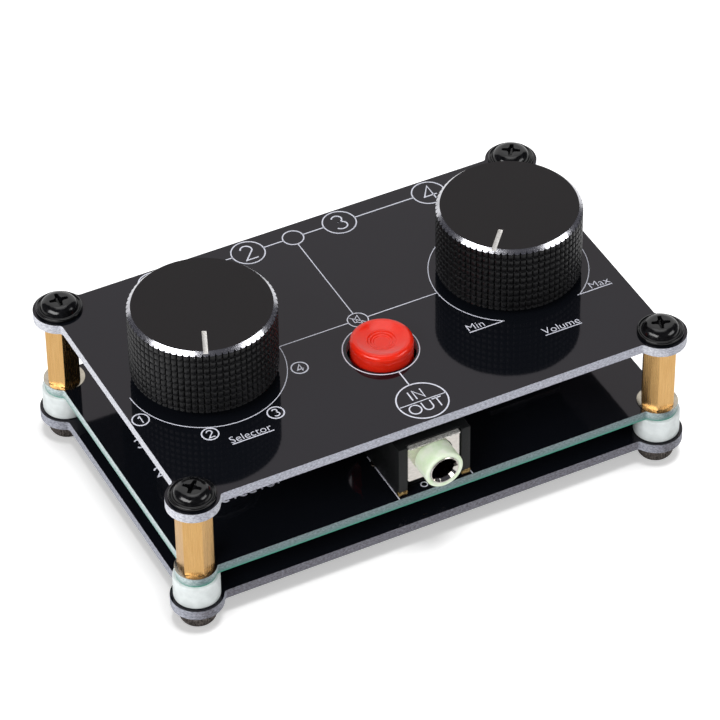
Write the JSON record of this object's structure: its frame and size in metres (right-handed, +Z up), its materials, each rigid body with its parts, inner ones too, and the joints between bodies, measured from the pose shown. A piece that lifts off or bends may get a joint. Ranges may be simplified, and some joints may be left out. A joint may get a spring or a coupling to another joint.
{
  "type": "speaker selector switch",
  "caption": "Passive desktop audio selector: stacked black boards on brass spacers, with knurled rotary knobs, a red push button and 3.5 mm jacks front and rear.",
  "frame": {"origin": "on the table, under the middle of the boards", "axes": "+X to the right along the boards, -Y to the front where the single jack is, +Z up"},
  "size_m": [0.0846, 0.0548, 0.0369],
  "materials": {
    "ball_steel": "polished bearing steel",
    "barrel_lime": "pale lime",
    "black_screw": "glossy black zinc",
    "board_black": "glossy black solder mask over glass-fibre board, white legend",
    "brass": "bare turned brass",
    "button_red": "glossy red",
    "case_plastic": "black moulded case",
    "contact": "tinned bronze",
    "foot_screw": "black oxide, knurled head",
    "grub": "black oxide",
    "inner_plastic": "natural acetal",
    "knob": "black anodised, knurled side, spun top, bright diamond-cut edge",
    "nickel": "nickel-plated sheet",
    "nylon": "natural white nylon",
    "phenolic": "phenolic sheet with printed tracks",
    "spring_steel": "spring wire",
    "steel": "turned steel",
    "switch_white": "white moulded plunger",
    "zinc": "die-cast zinc"
  },
  "bodies": {
    "frame": {"bottom_panel": "board_black", "foot_screws": "foot_screw", "input_jack_barrel": "barrel_lime", "input_jack_housing": "case_plastic", "input_jack_leaves": "contact", "input_jack_shield": "nickel", "main_board": "board_black", "nylon_spacers": "nylon", "output_1_jack_barrel": "barrel_lime", "output_1_jack_housing": "case_plastic", "output_1_jack_leaves": "contact", "output_1_jack_shield": "nickel", "output_2_jack_barrel": "barrel_lime", "output_2_jack_housing": "case_plastic", "output_2_jack_leaves": "contact", "output_2_jack_shield": "nickel", "output_3_jack_barrel": "barrel_lime", "output_3_jack_housing": "case_plastic", "output_3_jack_leaves": "contact", "output_3_jack_shield": "nickel", "output_4_jack_barrel": "barrel_lime", "output_4_jack_housing": "case_plastic", "output_4_jack_leaves": "contact", "output_4_jack_shield": "nickel", "selector_can": "steel", "selector_detent_ring": "inner_plastic", "selector_front_plate": "zinc", "selector_stator": "phenolic", "selector_studs": "contact", "standoff_front_left": "brass", "standoff_front_right": "brass", "standoff_rear_left": "brass", "standoff_rear_right": "brass", "switch_case": "case_plastic", "switch_pins": "contact", "switch_spring": "spring_steel", "top_panel": "board_black", "top_screws": "black_screw", "volume_case": "case_plastic", "volume_front_plate": "zinc", "volume_pins": "contact", "volume_wafers": "phenolic"},
    "selector": {"selector_knob": "knob", "selector_grub_screw": "grub", "selector_shaft": "steel", "selector_rotor": "inner_plastic", "selector_bridge": "contact", "selector_detent_ball": "ball_steel", "selector_detent_spring": "spring_steel"},
    "volume": {"volume_knob": "knob", "volume_grub_screw": "grub", "volume_shaft": "steel", "volume_wiper_discs": "inner_plastic", "volume_wipers": "contact"},
    "button": {"button_cap": "button_red", "switch_plunger": "switch_white", "switch_sliders": "contact"}
  },
  "joints": [
    {"name": "selector_turn", "type": "hinge", "parent": "frame", "child": "selector", "pos_m": [-0.0253, 0, 0.02515], "axis": [0, 0, 1], "range_deg": [-45, 90]},
    {"name": "volume_turn", "type": "hinge", "parent": "frame", "child": "volume", "pos_m": [0.0253, 0, 0.0244], "axis": [0, 0, 1], "range_deg": [-289, 11]},
    {"name": "button_press", "type": "slide", "parent": "frame", "child": "button", "axis": [0, 0, -1], "range_m": [0, 0.002], "stiffness_N_per_m": 400, "springref_m": -0.003, "deforming": ["switch_spring"]}
  ]
}
